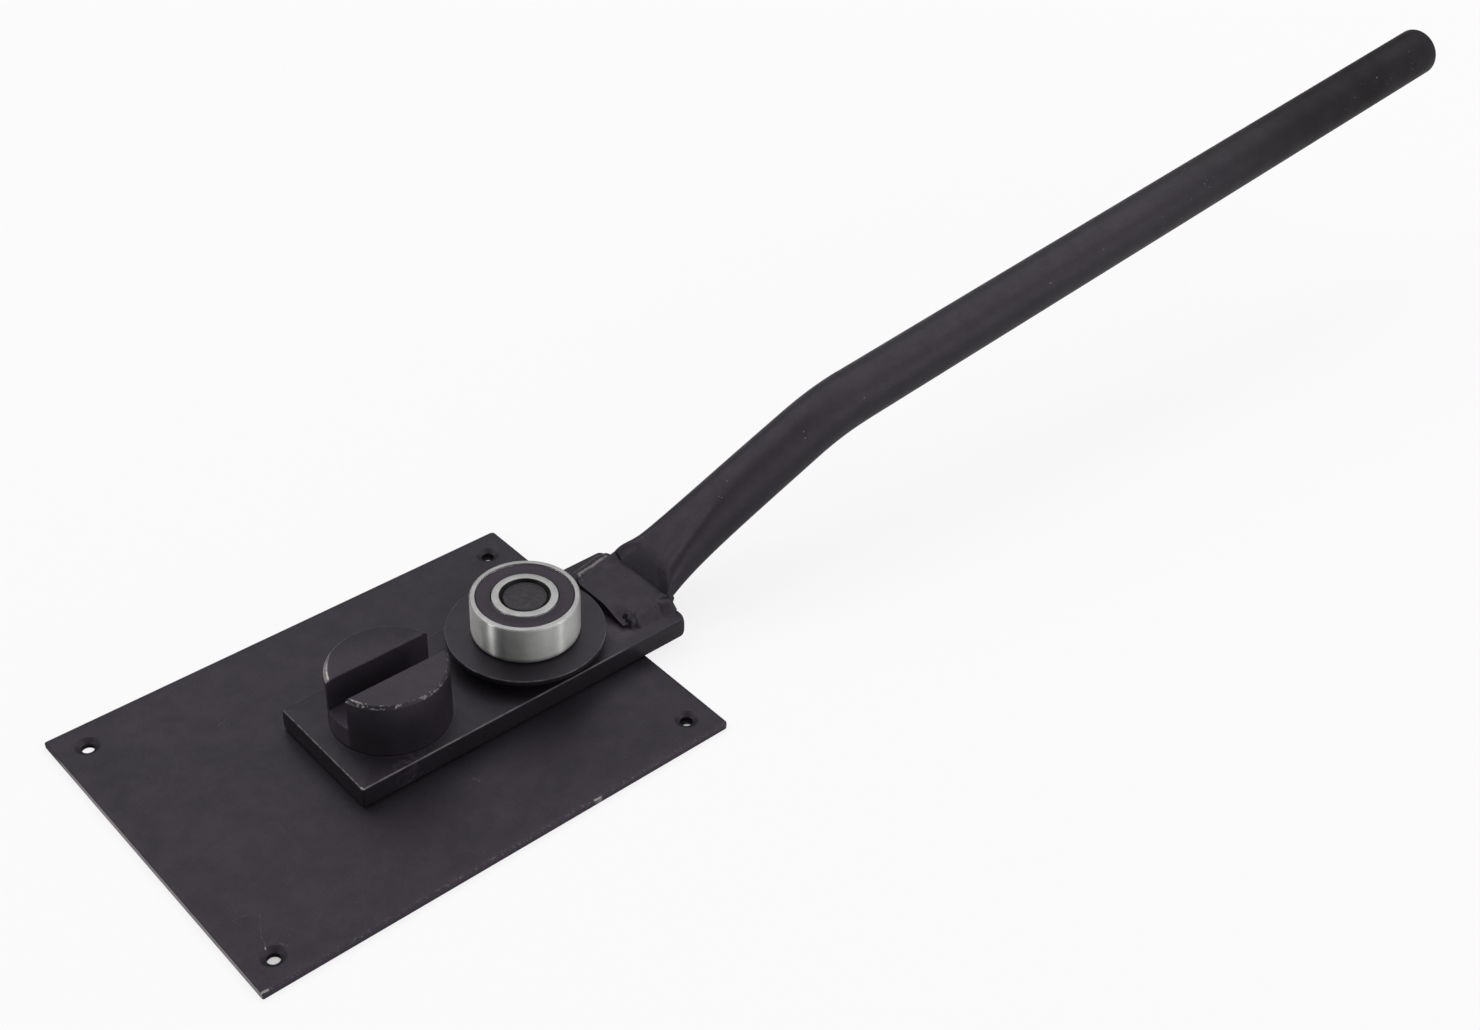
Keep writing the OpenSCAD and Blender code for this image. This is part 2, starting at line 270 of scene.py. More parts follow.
def soften(obj, width):
    """Rounds the piece's sharp edges."""
    bevel = obj.modifiers.new("soft_edges", "BEVEL")
    bevel.width = width * MM
    bevel.segments = 2
    bevel.limit_method = "ANGLE"
    bevel.angle_limit = math.radians(40)
    bevel.harden_normals = True


# Material helpers


class Graph:
    """A material's nodes. Positions are in millimetres in the piece's own frame."""

    def __init__(self, name):
        self.material = bpy.data.materials.new(name)
        self.material.use_nodes = True
        self.tree = self.material.node_tree
        self.shader = self.tree.nodes["Principled BSDF"]
        place = self.add("ShaderNodeTexCoord").outputs["Object"]
        self.place = self.vector("MULTIPLY", place, (1000, 1000, 1000))

    def add(self, kind, **settings):
        node = self.tree.nodes.new(kind)
        for key, value in settings.items():
            setattr(node, key, value)
        return node

    def put(self, socket, value):
        if isinstance(value, bpy.types.NodeSocket):
            self.tree.links.new(value, socket)
        elif value is not None:
            socket.default_value = value

    def wired(self, kind, values, **settings):
        """A new node with these values on its first inputs."""
        node = self.add(kind, **settings)
        for socket, value in zip(node.inputs, values):
            self.put(socket, value)
        return node

    def math(self, operation, a, b=None, clamp=False):
        return self.wired("ShaderNodeMath", (a, b), operation=operation, use_clamp=clamp).outputs[0]

    def fold(self, operation, values):
        made = values[0]
        for value in values[1:]:
            made = self.math(operation, made, value)
        return made

    def plus(self, *values):
        return self.fold("ADD", values)

    def times(self, *values):
        return self.fold("MULTIPLY", values)

    def most(self, *values):
        return self.fold("MAXIMUM", values)

    def vector(self, operation, a, b=None):
        node = self.wired("ShaderNodeVectorMath", (a, b), operation=operation)
        return node.outputs["Value" if operation in ("LENGTH", "DOT_PRODUCT", "DISTANCE") else "Vector"]

    def split(self):
        return self.wired("ShaderNodeSeparateXYZ", [self.place]).outputs[:3]

    def flat(self):
        """The place without its height."""
        return self.vector("MULTIPLY", self.place, (1, 1, 0))

    def radius(self):
        """The distance from the piece's own Z axis."""
        return self.vector("LENGTH", self.flat())

    def noise(self, size, detail=3, roughness=0.55, stretch=None):
        """Noise whose features are about size millimetres across."""
        node = self.add("ShaderNodeTexNoise")
        place = self.vector("MULTIPLY", self.place, stretch) if stretch else self.place
        self.put(node.inputs["Vector"], place)
        self.put(node.inputs["Scale"], 1 / size)
        self.put(node.inputs["Detail"], detail)
        self.put(node.inputs["Roughness"], roughness)
        return node.outputs["Fac"]

    def band(self, value, low, high, to_low=0, to_high=1):
        """value mapped smoothly from low..high to to_low..to_high."""
        values = (value, low, high, to_low, to_high)
        return self.wired("ShaderNodeMapRange", values, interpolation_type="SMOOTHSTEP").outputs[0]

    def patches(self, size, detail, *bounds):
        """Noise mapped by band."""
        return self.band(self.noise(size, detail), *bounds)

    def window(self, value, start, full, fading, end):
        """1 from full to fading, and 0 below start and above end."""
        return self.times(self.band(value, start, full), self.band(value, end, fading))

    def mix(self, share, a, b):
        """A colour between a and b."""
        node = self.add("ShaderNodeMix", data_type="RGBA")
        self.put(node.inputs["Factor"], share)
        self.put(node.inputs[6], rgba(a))
        self.put(node.inputs[7], rgba(b))
        return node.outputs[2]

    def blend(self, share, a, b):
        """A number between a and b."""
        return self.wired("ShaderNodeMix", (share, None, a, b), data_type="FLOAT").outputs[0]

    def bump(self, height, distance):
        """distance is in millimetres."""
        node = self.add("ShaderNodeBump")
        self.put(node.inputs["Distance"], distance * MM)
        self.put(node.inputs["Height"], height)
        return node.outputs[0]

    def set(self, **values):
        names = {
            "colour": "Base Color", "metallic": "Metallic", "roughness": "Roughness", "normal": "Normal",
            "specular": "Specular IOR Level", "anisotropic": "Anisotropic", "tangent": "Tangent",
            "turn": "Anisotropic Rotation", "tint": "Specular Tint",
        }
        for key, value in values.items():
            self.put(self.shader.inputs[names[key]], rgba(value) if key in ("colour", "tint") else value)
        return self.material


# The black coat: its tone, the cast of its colour and of its gloss, and how much gloss it has
BLACK = 0.0135
CAST = (1.04, 0.84, 1.14)
GLOSS_CAST = (1.0, 0.9, 1.06)
SHINE = 0.38
# How much paler a mark is than the coat, what dulls it, and the steel under it
MARK = 3.2
STAIN = (0.0108, 0.0086, 0.0096)
STAIN_SHINE = 0.1
BARE_STEEL = (0.42, 0.41, 0.40)
BARE_ROUGHNESS = 0.36


def rgba(colour):
    """A colour from a socket, three parts, or the lightness of a black."""
    if isinstance(colour, bpy.types.NodeSocket):
        return colour
    if isinstance(colour, (int, float)):
        return (*(colour * part for part in CAST), 1)
    return (*colour, 1)


def hidden_steel(name, colour, roughness):
    """Plain machined steel of the parts inside, with fine marks."""
    g = Graph(name)
    marks = g.noise(0.6, detail=4)
    return g.set(
        colour=g.mix(marks, [c * 0.85 for c in colour], colour), metallic=1.0,
        roughness=g.band(marks, 0.2, 0.8, roughness - 0.06, roughness + 0.08), normal=g.bump(marks, 0.01),
    )


def coat(name, tone, wear=None, roughness=0.42, marks=(), stain=None):
    """Satin black coating with soft mottling and fine orange peel.

    wear, marks and stain are functions that take the graph and return a mask: where the steel is bare,
    where the coat is paler and where it is dull."""
    g = Graph(name)
    cloud = g.noise(9, detail=5, roughness=0.62)
    fleck = g.noise(1.1, detail=3)
    peel = g.noise(0.35, detail=2)
    share = g.plus(g.times(cloud, 0.6), g.times(fleck, 0.4))
    paint = g.mix(g.band(share, 0.35, 0.65), tone * 0.8, tone * 1.2)
    rough = g.band(share, 0.3, 0.7, roughness + 0.05, roughness - 0.04)
    metal = 0.0
    shine = SHINE
    if stain:
        dull = stain(g)
        paint = g.mix(dull, paint, STAIN)
        shine = g.blend(dull, shine, STAIN_SHINE)
    for mark in marks:
        paint = g.mix(mark(g), paint, tone * MARK)
    if wear:
        metal = wear(g)
        paint = g.mix(metal, paint, BARE_STEEL)
        rough = g.blend(metal, rough, BARE_ROUGHNESS)
    height = g.plus(g.times(fleck, 0.6), g.times(peel, 0.4))
    return g.set(
        colour=paint, metallic=metal, roughness=rough, specular=shine, tint=GLOSS_CAST,
        normal=g.bump(height, 0.012),
    )


def edge_distance(g, low, high):
    """Distances from the left, near, right and far edges of a rectangle."""
    x, y, _ = g.split()
    return (
        g.math("SUBTRACT", x, low.x), g.math("SUBTRACT", y, low.y),
        g.math("SUBTRACT", high.x, x), g.math("SUBTRACT", high.y, y),
    )


def line_mask(g, start, end, width):
    """A soft scratch between two points of the top face."""
    a, b = Vector((*start, 0)), Vector((*end, 0))
    along = b - a
    offset = g.vector("SUBTRACT", g.flat(), tuple(a))
    t = g.math("DIVIDE", g.vector("DOT_PRODUCT", offset, tuple(along)), along.length_squared, clamp=True)
    scaled = g.add("ShaderNodeVectorMath", operation="SCALE")
    scaled.inputs[0].default_value = along
    g.put(scaled.inputs["Scale"], t)
    away = g.vector("LENGTH", g.vector("SUBTRACT", offset, scaled.outputs[0]))
    return g.band(away, width * 0.3, width, 1, 0)


# Base plate


def rounded_box_loop(low, high, radii, inset, z, steps=5):
    """A rectangle's outline with its own radius at each corner, drawn in by inset."""
    corners = [(low.x, low.y), (high.x, low.y), (high.x, high.y), (low.x, high.y)]
    loop = []
    for k, (x, y) in enumerate(corners):
        r = max(radii[k] - inset, MIN_CORNER_R)
        cx = x + (inset + r) * (1 if k in (0, 3) else -1)
        cy = y + (inset + r) * (1 if k in (0, 1) else -1)
        for i in range(steps + 1):
            a = math.pi + k * math.pi / 2 + i / steps * math.pi / 2
            loop.append((cx + r * math.cos(a), cy + r * math.sin(a), z))
    return loop


def circle_loop(x, y, r, z, count=40):
    return [(x + r * dx, y + r * dy, z) for dx, dy in around(count)]


def plate_with_holes(outline, holes):
    """A shape and its fills. outline and each hole are loops from the bottom face to the top face."""
    walls = [outline] + holes
    fills = [[loops[end] for loops in walls] for end in (0, -1)]
    return joined([bridge(loops) for loops in walls]), fills


def base_plate():
    top = PLATE_HIGH.z
    radii = [PLATE_R, PLATE_NEAR_R, PLATE_FAR_R, PLATE_R]
    # A sheared edge as inset and height: rolled over at the top, a little drawn at the bottom
    edge = [
        (0.25, 0), (0, 0.2), (0, top - 0.75), (0.12, top - 0.4), (0.45, top - 0.15), (1.1, top - 0.03),
        (2, top),
    ]
    outline = [rounded_box_loop(PLATE_LOW, PLATE_HIGH, radii, inset, z) for inset, z in edge]
    sink_floor = top - SINK_DEPTH
    bore = [
        (HOLE_R + 0.15, 0), (HOLE_R, 0.12), (HOLE_R, sink_floor - 0.05), (HOLE_R + 0.1, sink_floor + 0.06),
        (SINK_R - 0.14, top - 0.1), (SINK_R + 0.02, top - 0.03), (SINK_R + 0.2, top),
    ]
    holes = [
        [circle_loop(sx * HOLE_X, sy * HOLE_Y, r, z) for r, z in bore]
        for sx in (-1, 1) for sy in (-1, 1)
    ]
    neck = ((NECK_HOLE_R + WELD_SINK, 0), (NECK_HOLE_R, WELD_SINK), (NECK_HOLE_R, top))
    holes.append([circle_loop(0, 0, r, z, ROUND) for r, z in neck])
    shape, fills = plate_with_holes(outline, holes)
    piece("base_plate_shell", shape, plate_coat(), "base", ["base_plate"], fills=fills)


# Nicks and scratches in the plate's coat: two points of the top face, and a width
NICKS = [
    ((-112, -83), (-109.6, -83.2), 0.7), ((40.4, -83.6), (43.6, -83.8), 0.5),
    ((-100.2, -65.7), (-100.4, -66.3), 0.36),
]
SCRATCHES = [
    ((-102.7, -46.8), (-97.6, -47.6), 0.3), ((-97.6, -47.6), (-93.9, -50.9), 0.3),
    ((-93.2, -50.4), (-97.2, -57.7), 0.26), ((-97.2, -57.7), (-98.5, -60.3), 0.3),
    ((-98.5, -60.3), (-99.8, -65.4), 0.42), ((-95.1, -67), (-93.6, -70), 0.5),
    ((-53.9, 48.1), (-48.3, 49.7), 0.34), ((9.9, -43.1), (11.1, -46.2), 0.6),
]


def plate_coat():
    top = PLATE_HIGH.z

    def wear(g):
        left, near, _, far = edge_distance(g, PLATE_LOW, PLATE_HIGH)
        patch = g.patches(9, 4, 0.2, 0.5, 0.6, 1)
        sheared = g.times(g.band(left, 0.25, 0.05), g.band(far, 8, 22), patch)
        rolled = g.times(g.band(near, 0.5, 2.2, 1, 0), g.band(g.split()[2], top - 0.85, top - 0.3))
        flecks = g.patches(1.2, 3, 0.5, 0.68, 0, 0.14)
        nicks = g.most(*[line_mask(g, *nick) for nick in NICKS])
        return g.most(sheared, g.times(rolled, flecks), g.times(nicks, 0.6))

    def scratch(g):
        lines = g.most(*[line_mask(g, *line) for line in SCRATCHES])
        return g.times(lines, g.patches(1.5, 3, 0.35, 0.6))

    def dust(g):
        return g.patches(0.9, 1, 0.74, 0.8, 0, 0.6)

    def painted_near_edge_highlight(g):
        """Painted highlight: the coat is painted a little paler along the near edge, palest right at the
        edge.
        """
        near = edge_distance(g, PLATE_LOW, PLATE_HIGH)[1]
        soft = g.times(g.band(near, 0.5, 4.5, 0.1, 0), g.patches(4, 3, 0.3, 0.6))
        return g.most(soft, g.band(near, 0.4, 0.1, 0, 0.7))

    return coat("plate_coat", BLACK, wear, roughness=0.46, marks=[scratch, dust, painted_near_edge_highlight])


# Post


def arc(radius, start, end, count, z):
    turns = [start + (end - start) * i / count for i in range(count)]
    return [(radius * math.cos(a), radius * math.sin(a), z) for a in turns]


def chord(end, y, z, count):
    """Points along the slot's wall from -end to end."""
    return [(-end + 2 * end * i / count, y, z) for i in range(count)]


def half_moon(side, radius, z, arc_count, chord_count):
    """The outline of the head on one side of the slot."""
    a = math.asin(SLOT_HALF / radius)
    end = math.sqrt(radius * radius - SLOT_HALF * SLOT_HALF)
    points = arc(radius, a, math.pi - a, arc_count, z) + chord(end, SLOT_HALF, z, chord_count)
    return [(x * side, y * side, z) for x, y, z in points]


def pivot_post():
    arc_count, gap_count, chord_count = 72, 12, 24
    a = math.asin(SLOT_HALF / HEAD_R)
    base = BAR_TOP + HEAD_GAP
    foot = 0.4

    def full_ring(radius, z):
        points = []
        for turn in (0, math.pi):
            points += arc(radius, turn - a, turn + a, gap_count, z)
            points += arc(radius, turn + a, turn + math.pi - a, arc_count, z)
        return points

    drum = ((HEAD_R - foot, base), (HEAD_R, base + foot), (HEAD_R, SLOT_FLOOR))
    parts = [bridge([full_ring(r, z) for r, z in drum])]
    shoulder, rim = POST_TOP - HEAD_CHAMFER, HEAD_R - HEAD_CHAMFER
    steps = [
        (HEAD_R, SLOT_FLOOR), (HEAD_R, shoulder - 0.15), (HEAD_R - 0.1, shoulder + 0.12),
        (rim + 0.12, POST_TOP - 0.1), (rim - 0.15, POST_TOP),
    ]
    for side in (1, -1):
        rings = [half_moon(side, r, z, arc_count, chord_count) for r, z in steps]
        parts.append(bridge(rings))
        parts.append((rings[-1], [tuple(range(len(rings[-1])))]))
    end = math.sqrt(HEAD_R ** 2 - SLOT_HALF ** 2)
    floor = arc(HEAD_R, -a, a, gap_count, SLOT_FLOOR) + chord(-end, SLOT_HALF, SLOT_FLOOR, chord_count)
    floor += arc(HEAD_R, math.pi - a, math.pi + a, gap_count, SLOT_FLOOR)
    floor += chord(end, -SLOT_HALF, SLOT_FLOOR, chord_count)
    parts.append((floor, [tuple(range(len(floor)))]))
    parts.append(lathe([(0, POST_BASE), (NECK_R, POST_BASE), (NECK_R, base)], ROUND))
    fills = [[full_ring(HEAD_R - foot, base), circle_loop(0, 0, NECK_R, base, ROUND)]]
    shape = joined(parts)
    obj = piece("pivot_post_shell", shape, post_coat(), "base", ["pivot_post"], fills=fills)
    soften(obj, 0.18)


def post_coat():
    def wear(g):
        """The chamfer is bare on the left, in strokes on the near side and elsewhere in traces."""
        x, y, z = g.split()
        inner = g.blend(g.band(x, -12, -20), HEAD_R - 1.4, HEAD_R - 2)
        edge = g.band(g.math("SUBTRACT", g.radius(), inner), 0, 0.4)
        chamfer = g.times(edge, g.band(z, POST_TOP - 1.4, POST_TOP - 1))
        left = g.times(g.band(g.plus(g.times(y, 0.35), x), -6, -17), g.band(y, 2, 6))
        strokes = g.patches(2.1, 2, 0.52, 0.6)
        near = g.times(g.band(x, -4, -12), g.band(y, -6, -10), strokes, 0.8)
        grain = g.patches(1.6, 4, 0.4, 0.56, 0.65, 1)
        trace = g.patches(2.6, 4, 0.52, 0.62, 0, 0.35)
        return g.times(chamfer, g.most(g.times(g.most(left, near), grain), trace))

    def rub(g):
        return g.band(g.noise(3, detail=6, roughness=0.7), 0.62, 0.75, 0, 0.18)

    def slot(g):
        """The slot's walls are a little paler, and its floor paler still."""
        _, y, z = g.split()
        wall = g.band(g.math("ABSOLUTE", y), SLOT_HALF + 0.3, SLOT_HALF + 0.05)
        inside = g.times(wall, g.band(z, POST_TOP - 0.2, POST_TOP - 0.5))
        return g.times(inside, g.band(z, SLOT_FLOOR + 0.6, SLOT_FLOOR + 0.2, 0.3, 0.6))

    def base(g):
        return g.band(g.split()[2], BAR_TOP + 1.2, BAR_TOP + 0.4, 0, 0.5)

    return coat("post_coat", BLACK * 1.25, wear, roughness=0.4, marks=[rub, slot, base])


# Lever bar


def lever_bar():
    bottom, top = BAR_LOW.z, BAR_TOP
    # Inset, height and how much wider the near tip corner is rounded there
    edge = [
        (0.45, bottom, 1.6), (0.1, bottom + 0.12, 1.2), (0, bottom + 0.5, 0.8), (0, bottom + 2, 0),
        (0, top - 4.5, 0), (0, top - 2.5, 0.4), (0, top - 1.2, 1.2), (0, top - 0.55, 2),
        (0.09, top - 0.25, 2.6), (0.28, top - 0.07, 3.1), (0.6, top, 3.6),
    ]
    outline = []
    for inset, z, more in edge:
        radii = [BAR_TAIL_R, BAR_TIP_NEAR_R + more, BAR_TIP_FAR_R, BAR_TAIL_R]
        outline.append(rounded_box_loop(BAR_LOW, BAR_HIGH, radii, inset, z, steps=8))
    bore, ease = NECK_R + NECK_GAP, 0.3
    steps = ((bore + ease, bottom), (bore, bottom + ease), (bore, top - ease), (bore + ease, top))
    neck = [circle_loop(0, 0, r, z, ROUND) for r, z in steps]
    foot = [circle_loop(ROLLER.x, 0, PIN_FOOT_R, z, 64) for z in (bottom, top)]
    shape, fills = plate_with_holes(outline, [neck, foot])
    piece("lever_bar_shell", shape, bar_coat(), "lever", ["lever_bar"], fills=fills)


def bar_coat():
    def wear(g):
        left, near, right, far = edge_distance(g, BAR_LOW, BAR_HIGH)
        upper = g.band(g.split()[2], BAR_TOP - 0.6, BAR_TOP - 0.15)
        fine = g.patches(1.8, 4, 0.4, 0.6)
        long = g.patches(14, 3, 0.35, 0.6, 0.3, 0.9)
        near_edge = g.times(g.band(near, 0.25, 0.8, 0.34, 0), long, g.band(right, 20, 60, 0.12, 1))
        left_edge = g.times(g.band(left, 0.2, 0.75, 0.4, 0), g.blend(fine, 0.2, 0.9))
        far_edge = g.times(g.band(far, 0.2, 0.6, 0.3, 0), fine, g.band(right, 25, 60))
        corner = g.times(g.band(g.plus(left, near), 1.2, 3.2, 0.9, 0), fine)
        return g.times(g.most(near_edge, left_edge, far_edge, corner), upper)

    def brown(g):
        """A thin patch of coat near the post."""
        x, y, _ = g.split()
        zone = g.times(g.window(x, -24, -12, -8, 2), g.band(y, -22, -27))
        return g.times(zone, g.patches(2.2, 4, 0.45, 0.62, 0, 0.6))

    def painted_light_by_tongue_end(g):
        """Painted light: the top beside the tongue's end is painted paler, in patches, to lift the shade that
        the tongue's end casts there.
        """
        x, y, _ = g.split()
        zone = g.times(g.window(x, 98, 103, 109, 111), g.window(y, -27, -22, -8, 2))
        return g.times(zone, g.patches(2.5, 4, 0.3, 0.7, 0.35, 0.8))

    def swept(g):
        """A faint ring that the head has rubbed."""
        line = g.window(g.radius(), HEAD_R + 0.2, HEAD_R + 0.6, HEAD_R + 0.9, HEAD_R + 1.4)
        return g.times(line, g.patches(6, 3, 0.4, 0.6, 0.1, 0.5))

    return coat("bar_coat", BLACK * 0.92, wear, roughness=0.43, marks=[brown, swept, painted_light_by_tongue_end])


# Handle


def bezier(points, t):
    a, b, c, d = points
    s = 1 - t
    return a * s ** 3 + b * (3 * s * s * t) + c * (3 * s * t * t) + d * t ** 3


def bezier_slope(points, t):
    a, b, c, d = points
    s = 1 - t
    way = (b - a) * (s * s) + (c - b) * (2 * s * t) + (d - c) * (t * t)
    return math.atan2(way.y, way.x)


def power(value, exponent):
    return math.copysign(abs(value) ** exponent, value)


def flat_ring(centre, slope, half_y, half_z, squareness):
    """Points (x, y, z) of a rounded-box section square to a slope in the XZ plane."""
    ring = []
    for dx, dy in around(TUBE_SIDES):
        y = half_y * power(dx, 2 / squareness)
        h = half_z * power(dy, 2 / squareness)
        ring.append((centre.x - h * math.sin(slope), y, centre.y + h * math.cos(slope)))
    return ring


def above(slope, height):
    """The way square to a slope in the XZ plane, height long."""
    return Vector((-math.sin(slope), math.cos(slope))) * height


BEND_TURN = INNER_SLOPE - OUTER_SLOPE
BEND_REACH = BEND_R * math.tan(BEND_TURN / 2)
BEND_START = BEND_VERTEX - heading(INNER_SLOPE) * BEND_REACH
BEND_END = BEND_VERTEX + heading(OUTER_SLOPE) * BEND_REACH
# The flare's middle line: its slope at the crease, and how far each end's direction carries into it
FLARE_START = Vector((CREASE_X, TONGUE_Z))
FLARE_LENGTH = (BEND_START - FLARE_START).length
LIFT_SLOPE = math.radians(53)
LIFT_PULL = 0.05
RUN_PULL = 0.29
FLARE = (
    FLARE_START,
    FLARE_START + heading(LIFT_SLOPE) * LIFT_PULL * FLARE_LENGTH,
    BEND_START - heading(INNER_SLOPE) * RUN_PULL * FLARE_LENGTH,
    BEND_START,
)
# Where on that line the flare starts, and how fast it opens
LIFT_START = 0.05
FLARE_RATE = 5
# The crushed top: its rise just above the crease, over what length, its rise further on, and how soft it is
FACET_RISE = 1.12
FACET_LENGTH = 6.5
LONG_RISE = 0.68
CEILING_BLEND = 2.6
# Sections: points in each, where they lie along the tongue, and how many follow in the flare, bend and run.
# The bore starts after the closed ones.
TUBE_SIDES = 96
TONGUE_STEPS = (0, 0.02, 0.05, 0.09, 0.14, 0.2, 0.3, 0.42, 0.54, 0.64, 0.72, 0.8, 0.87, 0.93, 0.97)
FLARE_RINGS = 90
CLOSED_RINGS = 60
BEND_RINGS = 20
RUN_RINGS = 48
BEND_SWELL = 1.012
BOX = 4
OVAL = 2


def tube_sections():
    """The tube's sections from the flattened end: centre, slope, half width, half height and squareness."""
    wide = math.sqrt(2 * TUBE_R ** 2 - TUBE_WALL ** 2)
    sections = []
    for u in TONGUE_STEPS:
        centre = Vector((TONGUE_X + (CREASE_X - TONGUE_X) * u, TONGUE_Z))
        sections.append((centre, 0, wide, TUBE_WALL, BOX))
    mitre = LIFT_SLOPE / 2
    sections.append((FLARE_START, mitre, wide, TUBE_WALL / math.cos(mitre), BOX))
    for i in range(FLARE_RINGS + 1):
        t = LIFT_START + (1 - LIFT_START) * (i / FLARE_RINGS) ** 1.5
        opening = 1 - (1 - t) ** FLARE_RATE
        half = TUBE_WALL + (TUBE_R - TUBE_WALL) * opening
        swell = 1 + 0.022 * math.exp(-((t - 0.75) / 0.35) ** 2)
        width = math.sqrt(2 * TUBE_R ** 2 - half ** 2)
        squareness = OVAL + (BOX - OVAL) * (1 - opening)
        sections.append((bezier(FLARE, t), bezier_slope(FLARE, t), width, half * swell, squareness))
    bend_centre = BEND_START - above(INNER_SLOPE, BEND_R)
    for i in range(1, BEND_RINGS + 1):
        slope = INNER_SLOPE - BEND_TURN * i / BEND_RINGS
        height = TUBE_R * (BEND_SWELL if i < BEND_RINGS else 1)
        sections.append((bend_centre + above(slope, BEND_R), slope, TUBE_R, height, OVAL))
    run = (HANDLE_X - BEND_END.x) / math.cos(OUTER_SLOPE)
    for i in range(1, RUN_RINGS + 1):
        centre = BEND_END + heading(OUTER_SLOPE) * run * i / RUN_RINGS
        sections.append((centre, OUTER_SLOPE, TUBE_R, TUBE_R, OVAL))
    return sections


def ceiling(x, y):
    """The crushed top: a steep facet above the crease, then a long slope, between two shoulders."""
    past = max(x - CREASE_X, 0)
    height = LONG_RISE * past + (FACET_RISE - LONG_RISE) * FACET_LENGTH * math.tanh(past / FACET_LENGTH)
    near = min(-13.6 + 1.9 * past, -4)
    far = max(15.5 - 0.9 * past, 10)
    shoulders = 1.8 * smoothstep(0, 10, near - y) + 3.6 * smoothstep(-2, 6, y - far)
    return TONGUE_Z + TUBE_WALL + 1.2 * smoothstep(0, 10, past) + height + shoulders


def crush(point, ring_centre, slope):
    """What crushing leaves: a cut corner, a far edge that lifts early, and a dished top with soft ridges."""
    x, y, z = point
    away = ring_centre.x - CREASE_X
    cut = smoothstep(10, 19, y)
    x += 4.6 * cut * cut * (1 - smoothstep(TONGUE_X, TONGUE_X + 12, x))
    melted = smoothstep(-3, -17, y) * (1 - smoothstep(TONGUE_X + 1, TONGUE_X + 8, x))
    z -= 3 * melted * max(z - BAR_TOP, 0) / (2 * TUBE_WALL)
    up = (x - ring_centre.x) * -math.sin(slope) + (z - ring_centre.y) * math.cos(slope)
    if away > -0.01 and up > 0:
        x += up * math.sin(slope) * (1 - smoothstep(0, 14, away))
    if z > ring_centre.y - 0.5:
        lift = 3.6 * smoothstep(-12, 1, away) if y > 0 else 2 * smoothstep(-5, 1, away)
        z += lift * smoothstep(12.5, 18.2, abs(y)) * (1 - smoothstep(2, 22, away))
    if away < -0.01 or up <= 0:
        return (x, y, z)
    top = ceiling(x, y)
    blend = 0.2 + CEILING_BLEND * smoothstep(0, 12, x - CREASE_X)
    z -= blend * math.log(1 + math.exp((z - top) / blend))
    ridge_y = -12.5 + 7 * smoothstep(0, 70, away)
    groove_y = ridge_y + 6
    ridge = 0.38 * math.exp(-((y - ridge_y) / 2.6) ** 2)
    groove = 0.65 * math.exp(-((y - groove_y) / 3.4) ** 2)
    z += smoothstep(6, 20, away) * math.exp(-away / 45) * (ridge - groove)
    return (x, y, z)


def handle_tube():
    sections = tube_sections()
    outer = []
    for centre, slope, half_y, half_z, squareness in sections:
        ring = flat_ring(centre, slope, half_y, half_z, squareness)
        outer.append([crush(p, centre, slope) for p in ring])
    end_centre, end_slope = sections[-1][0], sections[-1][1]

    def end_ring(radius, back):
        return flat_ring(end_centre - heading(end_slope) * back, end_slope, radius, radius, OVAL)

    bore = TUBE_R - TUBE_WALL
    outer[-1] = end_ring(TUBE_R, 0.5)
    rim = [
        end_ring(TUBE_R - 0.14, 0.14), end_ring(TUBE_R - 0.5, 0), end_ring(bore + 0.35, 0),
        end_ring(bore + 0.1, 0.1), end_ring(bore, 0.4),
    ]
    bored = sections[len(TONGUE_STEPS) + CLOSED_RINGS:-1]
    inner = [
        flat_ring(centre, slope, half_y - TUBE_WALL, half_z - TUBE_WALL, squareness)
        for centre, slope, half_y, half_z, squareness in reversed(bored)
    ]
    shape = capped(outer + rim + inner)
    piece("handle_tube_shell", shape, handle_coat(), "lever", ["handle_tube"])


def handle_coat():
    def wear(g):
        end = g.band(g.split()[0], HANDLE_X - 2.2, HANDLE_X - 0.8)
        chips = g.patches(1.5, 2, 0.735, 0.76, 0, 0.7)
        spots = g.times(chips, g.patches(30, 1, 0.5, 0.6))
        return g.most(spots, g.times(end, g.patches(2.4, 3, 0.45, 0.65, 0, 0.25)))

    def drawn(g):
        return g.band(g.noise(2.2, detail=4, stretch=(0.04, 1, 1)), 0.55, 0.8, 0, 0.12)

    def held(g):
        """Duller towards the end, where hands hold it."""
        return g.times(g.band(g.split()[0], 430, 660), g.patches(20, 3, 0.3, 0.7, 0.8, 1))

    return coat("handle_coat", BLACK * 1.1, wear, roughness=0.46, marks=[drawn], stain=held)


# Weld beads


